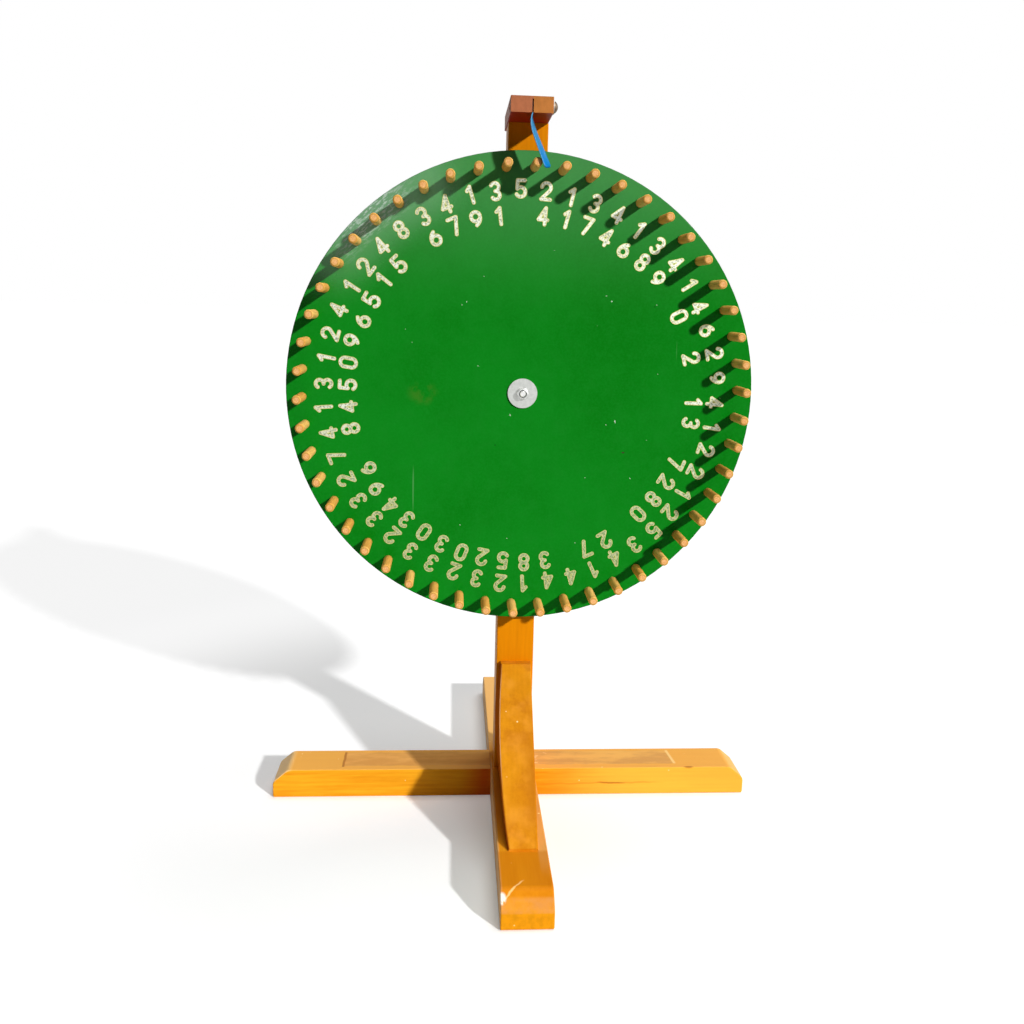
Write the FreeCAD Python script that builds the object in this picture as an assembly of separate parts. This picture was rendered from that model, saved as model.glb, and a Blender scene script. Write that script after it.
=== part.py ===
import FreeCAD, Part
import math
import os
from FreeCAD import Vector

# A carnival number wheel on a cross-shaped wooden stand, in millimetres.
# X runs to the player's right, Y away from the player, Z up.
# The origin is on the floor under the middle of the post.

# The wheel board
WHEEL_DIAMETER = 600.0
WHEEL_THICKNESS = 12.0
WHEEL_RIM_ROUND = 1.0
WHEEL_ABOVE_FLOOR = 262.0

# The pegs round the rim, one between each two numbers
PEG_COUNT = 50
PEG_DIAMETER = 11.4
PEG_TO_RIM = 20.0
PEG_STANDS_OUT = 47.5
PEG_HOLE_DEPTH = 9.0
PEG_END_ROUND = 2.0
FIRST_PEG_ANGLE = 1.64

# The stuck-on digits: tens outside, units inside, tops towards the rim
NUMBERS = [
    5, 24, 11, 37, 44, 16, 38, 49, 1, 40,
    6, 22, 9, 41, 13, 2, 27, 12, 28, 50,
    3, 42, 17, 4, 43, 18, 25, 32, 20, 33,
    30, 23, 34, 39, 26, 7, 48, 14, 35, 10,
    29, 46, 15, 21, 45, 8, 36, 47, 19, 31,
]
DIGIT_HEIGHT = 24.6
DIGIT_WIDTH = 16.0
DIGIT_STROKE = 4.8
DIGIT_THICKNESS = 0.3
DIGIT_TO_PEG_GAP = 9.0
DIGIT_ROW_GAP = 4.9
DIGIT_TILT_WOBBLE = 2.2
DIGIT_PLACE_WOBBLE = 1.1

# The stand
CROSS_BAR_LENGTH = 656.0
FOOT_BAR_LENGTH = 658.0
BAR_WIDTH = 60.0
BAR_HEIGHT = 39.5
BAR_END_RUN = 20.0
BAR_END_DROP = 17.0
BAR_END_ROUND = 11.0
BAR_FOOT_ROUND = 3.0
BAR_EDGE_ROUND = 1.6
POST_SIZE = 50.0
POST_EDGE_ROUND = 1.2
TENON_SIZE = 26.0
TENON_SHOULDER_GAP = 0.25

# The brace in front of the post, straight on its right side and bellied on its left
BRACE_TOP_WIDTH = 40.4
BRACE_TOE_WIDTH = 35.6
BRACE_SIDE_SHIFT = 0.8
BRACE_BELLY = 7.0
BRACE_TOP_HEIGHT = 195.0
BRACE_TOP_DEPTH = 13.0
BRACE_REACH = 212.0
BRACE_TOE_HEIGHT = 3.0
BRACE_RIGHT_ROUND = 1.2
BRACE_LEFT_ROUND = 3.0

# The coach screw from under the base into the end of the post
COACH_SCREW_DIAMETER = 8.0
COACH_SCREW_LENGTH = 90.0
COACH_SCREW_POINT = 8.0
COACH_HEAD_FLATS = 13.0
COACH_HEAD_HEIGHT = 5.5
COACH_HEAD_RECESS = 2.0
COACH_WASHER_DIAMETER = 24.0
COACH_WASHER_THICKNESS = 1.6
COUNTERBORE_CLEARANCE = 1.0

# The pointer head on top of the post, in two cheeks
HEAD_ABOVE_WHEEL = 34.5
HEAD_THICKNESS = 18.5
HEAD_WIDTH = 51.0
HEAD_SIDE_SHIFT = -1.0
HEAD_FRONT_REACH = 92.0
HEAD_REAR_REACH = 42.0
HEAD_JOINT_OFFSET = 0.8
HEAD_EDGE_ROUND = 0.8
KERF_DEPTH = 47.0
KERF_COVER = 3.0
HEAD_SCREW_DIAMETER = 5.0
HEAD_SCREW_LENGTH = 60.0
HEAD_SCREW_HEAD_DIAMETER = 10.0
HEAD_SCREW_OFFSET = 13.5

# The flexible strip that the pegs click past
STRIP_WIDTH = 24.0
STRIP_THICKNESS = 1.5
STRIP_CLEARANCE = 0.05
STRIP_SET_BACK = 0.3
STRIP_GRIP = 15.0
STRIP_BEND_RADIUS = 57.0
STRIP_LEAN = 23.4
STRIP_TIP_BELOW_PEG_CIRCLE = 5.5
STRIP_FIRST_TWIST = 15.0
STRIP_FIRST_TWIST_SHARP = 12.0
STRIP_LATER_TWIST = 9.0
STRIP_SECTIONS = 13

# The clamp bolt across the head
CLAMP_BOLT_DIAMETER = 6.0
CLAMP_DOME_DIAMETER = 15.0
CLAMP_DOME_HEIGHT = 5.0
CLAMP_WASHER_DIAMETER = 17.0
CLAMP_WASHER_THICKNESS = 1.6
CLAMP_BOLT_HEIGHT = 10.0
CLAMP_FROM_FRONT = 18.5
CLAMP_NUT_FLATS = 10.0
CLAMP_NUT_HEIGHT = 5.0
CLAMP_NUT_WASHER_DIAMETER = 12.5
CLAMP_NUT_WASHER_THICKNESS = 1.2
CLAMP_POCKET_DIAMETER = 13.6
CLAMP_POCKET_SPARE = 1.5
CLAMP_HOLE_CLEARANCE = 0.2

# The axle bolt and its washers and locking nut
AXLE_DIAMETER = 8.0
AXLE_HEAD_FLATS = 13.0
AXLE_HEAD_HEIGHT = 5.3
AXLE_END_BEYOND_NUT = 2.0
AXLE_END_CHAMFER = 0.8
AXLE_HOLE_CLEARANCE = 0.2
REAR_WASHER_DIAMETER = 24.0
REAR_WASHER_THICKNESS = 1.6
SPACER_DIAMETER = 30.0
SPACER_THICKNESS = 1.6
FRONT_WASHER_DIAMETER = 38.0
FRONT_WASHER_THICKNESS = 2.0
WASHER_RUNNING_GAP = 0.15
LOCK_NUT_FLATS = 13.0
LOCK_NUT_HEIGHT = 8.0
LOCK_NUT_COLLAR_HEIGHT = 2.5
LOCK_NUT_COLLAR_DIAMETER = 12.0
NUT_INSERT_DIAMETER = 10.0
BUSH_OUTER_DIAMETER = 14.0
BUSH_RUNNING_CLEARANCE = 0.05

# Places worked out from the sizes above
WHEEL_RADIUS = WHEEL_DIAMETER / 2
AXLE_HEIGHT = WHEEL_ABOVE_FLOOR + WHEEL_RADIUS
PEG_CIRCLE_RADIUS = WHEEL_RADIUS - PEG_TO_RIM
OUTER_DIGIT_RADIUS = PEG_CIRCLE_RADIUS - (PEG_DIAMETER + DIGIT_HEIGHT) / 2 - DIGIT_TO_PEG_GAP
INNER_DIGIT_RADIUS = OUTER_DIGIT_RADIUS - DIGIT_HEIGHT - DIGIT_ROW_GAP
POST_HALF = POST_SIZE / 2
BAR_HALF_WIDTH = BAR_WIDTH / 2
LAP_HEIGHT = BAR_HEIGHT / 2
SPACER_FRONT_Y = -POST_HALF - SPACER_THICKNESS
WHEEL_BACK_Y = SPACER_FRONT_Y - 2 * WASHER_RUNNING_GAP
WHEEL_FRONT_Y = WHEEL_BACK_Y - WHEEL_THICKNESS
FRONT_WASHER_Y = WHEEL_FRONT_Y - WASHER_RUNNING_GAP
LOCK_NUT_Y = FRONT_WASHER_Y - FRONT_WASHER_THICKNESS
AXLE_END_Y = LOCK_NUT_Y - LOCK_NUT_HEIGHT - AXLE_END_BEYOND_NUT
REAR_WASHER_Y = POST_HALF + REAR_WASHER_THICKNESS
HEAD_UNDERSIDE_HEIGHT = AXLE_HEIGHT + WHEEL_RADIUS + HEAD_ABOVE_WHEEL
HEAD_TOP_HEIGHT = HEAD_UNDERSIDE_HEIGHT + HEAD_THICKNESS
KERF_WIDTH = STRIP_THICKNESS + 2 * STRIP_CLEARANCE
STRIP_X = HEAD_JOINT_OFFSET - KERF_WIDTH / 2
STRIP_Y = -HEAD_FRONT_REACH + STRIP_SET_BACK + STRIP_WIDTH / 2
STRIP_LEAN_ANGLE = math.radians(STRIP_LEAN)
STRIP_BEND_DROP = STRIP_BEND_RADIUS * math.sin(STRIP_LEAN_ANGLE)
STRIP_TIP_HEIGHT = AXLE_HEIGHT + PEG_CIRCLE_RADIUS - STRIP_TIP_BELOW_PEG_CIRCLE
STRIP_DROP = HEAD_UNDERSIDE_HEIGHT - STRIP_TIP_HEIGHT
STRIP_STRAIGHT = (STRIP_DROP - STRIP_BEND_DROP) / math.cos(STRIP_LEAN_ANGLE)
STRIP_FREE_LENGTH = STRIP_BEND_RADIUS * STRIP_LEAN_ANGLE + STRIP_STRAIGHT
CLAMP_Z = HEAD_UNDERSIDE_HEIGHT + CLAMP_BOLT_HEIGHT
CLAMP_Y = -HEAD_FRONT_REACH + CLAMP_FROM_FRONT
HEAD_RIGHT_X = HEAD_SIDE_SHIFT + HEAD_WIDTH / 2
HEAD_LEFT_X = HEAD_SIDE_SHIFT - HEAD_WIDTH / 2
CLAMP_POCKET_DEPTH = CLAMP_NUT_HEIGHT + CLAMP_NUT_WASHER_THICKNESS + CLAMP_POCKET_SPARE
BRACE_TOP_FRONT_Y = -POST_HALF - BRACE_TOP_DEPTH
BRACE_TOE_Y = -POST_HALF - BRACE_REACH
BRACE_TOE_TOP = BAR_HEIGHT + BRACE_TOE_HEIGHT
COACH_WASHER_Z = COACH_HEAD_RECESS + COACH_HEAD_HEIGHT

X_AXIS = Vector(1, 0, 0)
Y_AXIS = Vector(0, 1, 0)
Z_AXIS = Vector(0, 0, 1)


def cylinder(radius, start, direction, length):
    return Part.makeCylinder(radius, length, start, direction)


def box(x_span, y_span, z_span):
    size = [span[1] - span[0] for span in (x_span, y_span, z_span)]
    corner = Vector(x_span[0], y_span[0], z_span[0])
    return Part.makeBox(size[0], size[1], size[2], corner)


def prism(points, direction, length):
    wire = Part.makePolygon(points + [points[0]])
    return Part.Face(wire).extrude(direction * length)


def hexagon(across_flats, start, direction, length):
    side = direction.cross(Z_AXIS if abs(direction.z) < 0.5 else X_AXIS)
    up = direction.cross(side)
    radius = across_flats / math.sqrt(3)
    corners = []
    for step in range(6):
        angle = math.radians(60 * step)
        corners.append(start + side * (radius * math.cos(angle)) + up * (radius * math.sin(angle)))
    return prism(corners, direction, length)


def chamfered_hexagon(across_flats, start, direction, length):
    blank = hexagon(across_flats, start, direction, length)
    corner_radius = across_flats / math.sqrt(3)
    flat_radius = across_flats / 2
    slope = (corner_radius - flat_radius) * 0.6
    turned = Part.makeCone(corner_radius, flat_radius * 0.98, slope, start + direction * (length - slope), direction)
    body = cylinder(corner_radius * 1.01, start, direction, length - slope)
    return blank.common(body.fuse(turned))


def washer(outer_diameter, hole_diameter, start, direction, thickness):
    ring = cylinder(outer_diameter / 2, start, direction, thickness)
    return ring.cut(cylinder(hole_diameter / 2, start, direction, thickness))


def wood_screw(diameter, length, head_diameter, top, direction):
    head_depth = (head_diameter - diameter) / 2
    point = diameter * 1.5
    head = Part.makeCone(head_diameter / 2, diameter / 2, head_depth, top, direction)
    shank = cylinder(diameter / 2, top + direction * head_depth, direction, length - head_depth - point)
    tip = Part.makeCone(diameter / 2, diameter * 0.1, point, top + direction * (length - point), direction)
    return head.fuse([shank, tip]).removeSplitter()


def edges_where(shape, test):
    return [edge for edge in shape.Edges if test(edge)]


def runs_along(edge, axis):
    ends = [vertex.Point for vertex in edge.Vertexes]
    if len(ends) != 2:
        return False
    span = ends[1] - ends[0]
    return span.Length > 0 and abs(abs(span.dot(axis)) - span.Length) < 1e-6


def height_of(edge):
    return edge.CenterOfMass.z


def bar(length, along, across):
    """One bar of the base, bevelled and rounded at both ends."""
    half = length / 2
    profile = [
        (-half, 0),
        (half, 0),
        (half, BAR_HEIGHT - BAR_END_DROP),
        (half - BAR_END_RUN, BAR_HEIGHT),
        (-half + BAR_END_RUN, BAR_HEIGHT),
        (-half, BAR_HEIGHT - BAR_END_DROP),
    ]
    points = [along * u + across * -BAR_HALF_WIDTH + Z_AXIS * z for u, z in profile]
    blank = prism(points, across, BAR_WIDTH)
    low = BAR_HEIGHT - BAR_END_DROP - 0.1
    bevel_edges = edges_where(blank, lambda e: runs_along(e, across) and height_of(e) > low)
    blank = blank.makeFillet(BAR_END_ROUND, bevel_edges)
    foot_edges = edges_where(blank, lambda e: runs_along(e, across) and height_of(e) < 0.1)
    blank = blank.makeFillet(BAR_FOOT_ROUND, foot_edges)
    outline = edges_where(blank, lambda e: not runs_along(e, across) and height_of(e) > 0.1)
    return blank.makeFillet(BAR_EDGE_ROUND, outline)


def cross_bar():
    """The bar that lies left to right, halved from above where the foot bar crosses it."""
    blank = bar(CROSS_BAR_LENGTH, X_AXIS, Y_AXIS)
    lap = box((-BAR_HALF_WIDTH, BAR_HALF_WIDTH), (-BAR_WIDTH, BAR_WIDTH), (LAP_HEIGHT, BAR_HEIGHT))
    recess_radius = COACH_WASHER_DIAMETER / 2 + COUNTERBORE_CLEARANCE
    recess = cylinder(recess_radius, Vector(0, 0, 0), Z_AXIS, COACH_WASHER_Z + COACH_WASHER_THICKNESS)
    hole = cylinder(COACH_SCREW_DIAMETER / 2, Vector(0, 0, 0), Z_AXIS, BAR_HEIGHT)
    return blank.cut(lap).cut(recess.fuse(hole))


def foot_bar():
    """The bar that runs from front to back, halved from below over the cross bar."""
    blank = bar(FOOT_BAR_LENGTH, Y_AXIS, X_AXIS)
    lap = box((-BAR_WIDTH, BAR_WIDTH), (-BAR_HALF_WIDTH, BAR_HALF_WIDTH), (0, LAP_HEIGHT))
    half = TENON_SIZE / 2
    mortise = box((-half, half), (-half, half), (LAP_HEIGHT, BAR_HEIGHT))
    return blank.cut(lap).cut(mortise)


def post():
    """The upright, with a tenon into the foot bar and a bored hole for the axle."""
    shaft = box((-POST_HALF, POST_HALF), (-POST_HALF, POST_HALF), (BAR_HEIGHT, HEAD_UNDERSIDE_HEIGHT))
    corners = edges_where(shaft, lambda e: runs_along(e, Z_AXIS))
    shaft = shaft.makeFillet(POST_EDGE_ROUND, corners)
    half = TENON_SIZE / 2
    tenon = box((-half, half), (-half, half), (LAP_HEIGHT + TENON_SHOULDER_GAP, BAR_HEIGHT + 1))
    timber = shaft.fuse(tenon).removeSplitter()
    axle_start = Vector(0, POST_HALF + 1, AXLE_HEIGHT)
    axle_radius = AXLE_DIAMETER / 2 + AXLE_HOLE_CLEARANCE
    timber = timber.cut(cylinder(axle_radius, axle_start, -Y_AXIS, POST_SIZE + 2))
    timber = timber.cut(coach_screw_shank())
    for screw in head_screw_solids():
        timber = timber.cut(screw)
    return timber


def brace_front_view():
    """The brace's outline from in front: its left side bellies out half way down."""
    half_top = BRACE_TOP_WIDTH / 2
    half_toe = BRACE_TOE_WIDTH / 2
    top_left = Vector(BRACE_SIDE_SHIFT - half_top, 0, BRACE_TOP_HEIGHT)
    top_right = Vector(BRACE_SIDE_SHIFT + half_top, 0, BRACE_TOP_HEIGHT)
    toe_left = Vector(BRACE_SIDE_SHIFT - half_toe, 0, BAR_HEIGHT)
    toe_right = Vector(BRACE_SIDE_SHIFT + half_toe, 0, BAR_HEIGHT)
    belly = (top_left + toe_left) * 0.5 - X_AXIS * BRACE_BELLY
    edges = [
        Part.Arc(top_left, belly, toe_left).toShape(),
        Part.makeLine(toe_left, toe_right),
        Part.makeLine(toe_right, top_right),
        Part.makeLine(top_right, top_left),
    ]
    return Part.Face(Part.Wire(edges))


def front_brace():
    """The sloping brace between the post and the front foot."""
    side_view = [
        Vector(-BAR_WIDTH, -POST_HALF, BRACE_TOP_HEIGHT),
        Vector(-BAR_WIDTH, BRACE_TOP_FRONT_Y, BRACE_TOP_HEIGHT),
        Vector(-BAR_WIDTH, BRACE_TOE_Y, BRACE_TOE_TOP),
        Vector(-BAR_WIDTH, BRACE_TOE_Y, BAR_HEIGHT),
        Vector(-BAR_WIDTH, -POST_HALF, BAR_HEIGHT),
    ]
    front_view = brace_front_view()
    front_view.translate(Vector(0, BRACE_TOE_Y, 0))
    blank = prism(side_view, X_AXIS, 2 * BAR_WIDTH).common(front_view.extrude(Y_AXIS * BRACE_REACH))
    slope = edges_where(blank, on_brace_slope)
    left = [edge for edge in slope if edge.CenterOfMass.x < 0]
    blank = blank.makeFillet(BRACE_LEFT_ROUND, left)
    right = [edge for edge in edges_where(blank, on_brace_slope) if edge.CenterOfMass.x > BRACE_TOE_WIDTH / 4]
    return blank.makeFillet(BRACE_RIGHT_ROUND, right)


def on_brace_slope(edge):
    """True for an edge that runs the whole length of the brace's sloping face."""
    drop = max(v.Point.z for v in edge.Vertexes) - min(v.Point.z for v in edge.Vertexes)
    reach = max(v.Point.y for v in edge.Vertexes) - min(v.Point.y for v in edge.Vertexes)
    return drop > BRACE_TOP_HEIGHT / 2 and reach > BRACE_REACH / 2


def coach_screw_shank():
    start = Vector(0, 0, COACH_WASHER_Z)
    plain = COACH_SCREW_LENGTH - COACH_SCREW_POINT
    radius = COACH_SCREW_DIAMETER / 2
    shank = cylinder(radius, start, Z_AXIS, plain)
    point = Part.makeCone(radius, radius * 0.1, COACH_SCREW_POINT, start + Z_AXIS * plain, Z_AXIS)
    return shank.fuse(point).removeSplitter()


def coach_screw():
    """The hex-headed screw that draws the post down onto the base."""
    start = Vector(0, 0, COACH_WASHER_Z)
    head = chamfered_hexagon(COACH_HEAD_FLATS, start, -Z_AXIS, COACH_HEAD_HEIGHT)
    return head.fuse(coach_screw_shank()).removeSplitter()


def coach_washer():
    start = Vector(0, 0, COACH_WASHER_Z)
    return washer(COACH_WASHER_DIAMETER, COACH_SCREW_DIAMETER, start, Z_AXIS, COACH_WASHER_THICKNESS)


def wheel_centre(y):
    return Vector(0, y, AXLE_HEIGHT)


def peg_angle(index):
    return FIRST_PEG_ANGLE + 360.0 / PEG_COUNT * index


def on_wheel(radius, degrees, y):
    angle = math.radians(degrees)
    return Vector(radius * math.sin(angle), y, AXLE_HEIGHT + radius * math.cos(angle))


def wheel_board():
    """The round board, with a blind hole for each peg and a bored middle for the bush."""
    board = cylinder(WHEEL_DIAMETER / 2, wheel_centre(WHEEL_BACK_Y), -Y_AXIS, WHEEL_THICKNESS)
    rims = edges_where(board, lambda e: isinstance(e.Curve, Part.Circle))
    board = board.makeFillet(WHEEL_RIM_ROUND, rims)
    tools = [cylinder(BUSH_OUTER_DIAMETER / 2, wheel_centre(WHEEL_BACK_Y), -Y_AXIS, WHEEL_THICKNESS)]
    for index in range(PEG_COUNT):
        mouth = on_wheel(PEG_CIRCLE_RADIUS, peg_angle(index), WHEEL_FRONT_Y)
        tools.append(cylinder(PEG_DIAMETER / 2, mouth, Y_AXIS, PEG_HOLE_DEPTH))
    return board.cut(Part.makeCompound(tools))


def hub_bush():
    """The brass sleeve in the middle of the board, which turns on the axle bolt."""
    bore = AXLE_DIAMETER + 2 * BUSH_RUNNING_CLEARANCE
    return washer(BUSH_OUTER_DIAMETER, bore, wheel_centre(WHEEL_BACK_Y), -Y_AXIS, WHEEL_THICKNESS)


def peg():
    """One dowel peg, its foot at the origin and its rounded end towards the player."""
    blank = cylinder(PEG_DIAMETER / 2, Vector(0, 0, 0), -Y_AXIS, PEG_HOLE_DEPTH + PEG_STANDS_OUT)
    tip = -PEG_HOLE_DEPTH - PEG_STANDS_OUT
    rim = edges_where(blank, lambda e: isinstance(e.Curve, Part.Circle) and abs(e.CenterOfMass.y - tip) < 0.01)
    return blank.makeFillet(PEG_END_ROUND, rim)


def pegs():
    """The ring of pegs, each glued into its hole in the board."""
    pattern = peg()
    ring = []
    for index in range(PEG_COUNT):
        copy = pattern.copy()
        copy.translate(on_wheel(PEG_CIRCLE_RADIUS, peg_angle(index), WHEEL_FRONT_Y + PEG_HOLE_DEPTH))
        ring.append(copy)
    return Part.makeCompound(ring)


def flat_bar(start, end):
    """A straight stroke of a digit with round ends, in the XZ plane."""
    first = Vector(start[0], 0, start[1])
    last = Vector(end[0], 0, end[1])
    along = (last - first).normalize()
    side = Vector(-along.z, 0, along.x) * (DIGIT_STROKE / 2)
    body = prism([first - side, last - side, last + side, first + side], -Y_AXIS, DIGIT_THICKNESS)
    ends = [dot(start), dot(end)]
    return [body] + ends


def dot(centre):
    start = Vector(centre[0], 0, centre[1])
    return cylinder(DIGIT_STROKE / 2, start, -Y_AXIS, DIGIT_THICKNESS)


def bent_stroke(centre, radius, start_angle, end_angle):
    """A curved stroke with round ends, anticlockwise from one angle to the other."""
    middle = Vector(centre[0], 0, centre[1])
    inner = radius - DIGIT_STROKE / 2
    outer = radius + DIGIT_STROKE / 2
    half_angle = (start_angle + end_angle) / 2

    def place(length, degrees):
        angle = math.radians(degrees)
        return middle + Vector(length * math.cos(angle), 0, length * math.sin(angle))

    edges = [
        Part.Arc(place(outer, start_angle), place(outer, half_angle), place(outer, end_angle)).toShape(),
        Part.makeLine(place(outer, end_angle), place(inner, end_angle)),
        Part.Arc(place(inner, end_angle), place(inner, half_angle), place(inner, start_angle)).toShape(),
        Part.makeLine(place(inner, start_angle), place(outer, start_angle)),
    ]
    body = Part.Face(Part.Wire(edges)).extrude(-Y_AXIS * DIGIT_THICKNESS)
    ends = []
    for degrees in (start_angle, end_angle):
        point = place(radius, degrees)
        ends.append(dot((point.x, point.z)))
    return [body] + ends


def ring_stroke(centre, radius):
    """A closed round stroke."""
    start = Vector(centre[0], 0, centre[1])
    outer = cylinder(radius + DIGIT_STROKE / 2, start, -Y_AXIS, DIGIT_THICKNESS)
    return [outer.cut(cylinder(radius - DIGIT_STROKE / 2, start, -Y_AXIS, DIGIT_THICKNESS))]


def digit_strokes(digit):
    """The strokes of one plain upright digit, about its middle."""
    top = (DIGIT_HEIGHT - DIGIT_STROKE) / 2
    side = (DIGIT_WIDTH - DIGIT_STROKE) / 2
    upper = top - side
    if digit == 0:
        strokes = bent_stroke((0, upper), side, 0, 180)
        strokes += bent_stroke((0, -upper), side, 180, 360)
        strokes += flat_bar((-side, -upper), (-side, upper))
        return strokes + flat_bar((side, -upper), (side, upper))
    if digit == 1:
        flag = side * 0.8
        return flat_bar((flag / 2, -top), (flag / 2, top)) + flat_bar((flag / 2, top), (-flag / 2, top - flag))
    if digit == 2:
        turn = -40
        angle = math.radians(turn)
        leave = (side * math.cos(angle), upper + side * math.sin(angle))
        strokes = bent_stroke((0, upper), side, turn, 175)
        strokes += flat_bar(leave, (-side, -top))
        return strokes + flat_bar((-side, -top), (side, -top))
    if digit == 3:
        small = top / 2
        strokes = bent_stroke((0, small), small, -90, 150)
        return strokes + bent_stroke((0, -small), small, -150, 90)
    if digit == 4:
        bar_level = -top * 0.45
        stem = side * 0.45
        strokes = flat_bar((stem, -top), (stem, top))
        strokes += flat_bar((stem, top), (-side, bar_level))
        return strokes + flat_bar((-side, bar_level), (side, bar_level))
    if digit == 5:
        bowl = side * 1.02
        centre = (0, -top + bowl)
        strokes = bent_stroke(centre, bowl, -150, 140)
        angle = math.radians(140)
        shoulder = (bowl * math.cos(angle), centre[1] + bowl * math.sin(angle))
        strokes += flat_bar(shoulder, (-side * 0.72, top))
        return strokes + flat_bar((-side * 0.72, top), (side * 0.85, top))
    if digit == 7:
        return flat_bar((-side, top), (side, top)) + flat_bar((side, top), (-side * 0.25, -top))
    if digit == 8:
        small = top / 2
        return ring_stroke((0, small), small * 0.98) + ring_stroke((0, -small), small * 1.02)
    loop = side
    strokes = ring_stroke((0, -top + loop), loop)
    return strokes + bent_stroke((side * 1.05, -top + loop), side * 2.05, 115, 180)


def digit_solid(digit):
    """One digit cut from thin foil. A nine is a six turned upside down."""
    if digit == 9:
        turned = digit_solid(6)
        turned.rotate(Vector(0, 0, 0), Y_AXIS, 180)
        return turned
    strokes = digit_strokes(digit)
    return strokes[0].fuse(strokes[1:]).removeSplitter().Solids[0]


def digit_ring(radius, pick):
    """Copies of the digits that pick chooses, each set by hand and so a little uneven."""
    patterns = {}
    ring = []
    for slot, number in enumerate(NUMBERS):
        digit = pick(number)
        if digit is None:
            continue
        if digit not in patterns:
            patterns[digit] = digit_solid(digit)
        angle = peg_angle(slot) - 180.0 / PEG_COUNT
        copy = patterns[digit].copy()
        copy.rotate(Vector(0, 0, 0), Y_AXIS, angle + DIGIT_TILT_WOBBLE * math.sin(slot * 2.4 + radius))
        place = radius + DIGIT_PLACE_WOBBLE * math.sin(slot * 1.7 + radius)
        copy.translate(on_wheel(place, angle, WHEEL_FRONT_Y))
        ring.append(copy)
    return Part.makeCompound(ring)


def outer_digits():
    """The outer ring: the tens, or the whole of a number below ten."""
    return digit_ring(OUTER_DIGIT_RADIUS, lambda number: number // 10 if number > 9 else number)


def inner_digits():
    """The inner ring: the units of the numbers that have two digits."""
    return digit_ring(INNER_DIGIT_RADIUS, lambda number: number % 10 if number > 9 else None)


def axle_bolt():
    """The bolt through the post on which the wheel turns, its head behind the post."""
    head = chamfered_hexagon(AXLE_HEAD_FLATS, wheel_centre(REAR_WASHER_Y), Y_AXIS, AXLE_HEAD_HEIGHT)
    shank = cylinder(AXLE_DIAMETER / 2, wheel_centre(REAR_WASHER_Y), -Y_AXIS, REAR_WASHER_Y - AXLE_END_Y)
    rim = edges_where(shank, lambda e: isinstance(e.Curve, Part.Circle) and e.CenterOfMass.y < AXLE_END_Y + 0.01)
    shank = shank.makeChamfer(AXLE_END_CHAMFER, rim)
    return head.fuse(shank).removeSplitter()


def rear_washer():
    start = wheel_centre(REAR_WASHER_Y)
    return washer(REAR_WASHER_DIAMETER, AXLE_DIAMETER, start, -Y_AXIS, REAR_WASHER_THICKNESS)


def spacer_washer():
    """The washer that keeps the back of the board off the post."""
    start = wheel_centre(-POST_HALF)
    return washer(SPACER_DIAMETER, AXLE_DIAMETER, start, -Y_AXIS, SPACER_THICKNESS)


def front_washer():
    """The wide washer that keeps the board on its axle."""
    start = wheel_centre(FRONT_WASHER_Y)
    return washer(FRONT_WASHER_DIAMETER, AXLE_DIAMETER, start, -Y_AXIS, FRONT_WASHER_THICKNESS)


def lock_nut():
    """The locking nut, its collar open round a plastic ring."""
    hex_height = LOCK_NUT_HEIGHT - LOCK_NUT_COLLAR_HEIGHT
    body = chamfered_hexagon(LOCK_NUT_FLATS, wheel_centre(LOCK_NUT_Y), -Y_AXIS, hex_height)
    collar_y = LOCK_NUT_Y - hex_height
    collar = cylinder(LOCK_NUT_COLLAR_DIAMETER / 2, wheel_centre(collar_y), -Y_AXIS, LOCK_NUT_COLLAR_HEIGHT)
    rim = edges_where(collar, lambda e: e.CenterOfMass.y < collar_y - LOCK_NUT_COLLAR_HEIGHT + 0.01)
    collar = collar.makeFillet(LOCK_NUT_COLLAR_HEIGHT * 0.3, rim)
    bore = cylinder(AXLE_DIAMETER / 2, wheel_centre(LOCK_NUT_Y), -Y_AXIS, LOCK_NUT_HEIGHT)
    seat = cylinder(NUT_INSERT_DIAMETER / 2, wheel_centre(collar_y), -Y_AXIS, LOCK_NUT_COLLAR_HEIGHT)
    return body.fuse(collar).removeSplitter().cut(bore.fuse(seat))


def lock_nut_ring():
    """The plastic ring that grips the end of the axle bolt."""
    start = wheel_centre(LOCK_NUT_Y - LOCK_NUT_HEIGHT + LOCK_NUT_COLLAR_HEIGHT)
    return washer(NUT_INSERT_DIAMETER, AXLE_DIAMETER, start, -Y_AXIS, LOCK_NUT_COLLAR_HEIGHT * 0.8)


def clamp_hole():
    start = Vector(HEAD_LEFT_X - 1, CLAMP_Y, CLAMP_Z)
    return cylinder(CLAMP_BOLT_DIAMETER / 2 + CLAMP_HOLE_CLEARANCE, start, X_AXIS, HEAD_WIDTH + 2)


def head_cheek(x_span):
    """One half of the pointer head, before its rebate and holes."""
    y_span = (-HEAD_FRONT_REACH, HEAD_REAR_REACH)
    blank = box(x_span, y_span, (HEAD_UNDERSIDE_HEIGHT, HEAD_TOP_HEIGHT))
    outer_x = max(x_span, key=abs)
    outer = edges_where(blank, lambda e: abs(e.CenterOfMass.x - outer_x) < 0.01)
    return blank.makeFillet(HEAD_EDGE_ROUND, outer)


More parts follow.
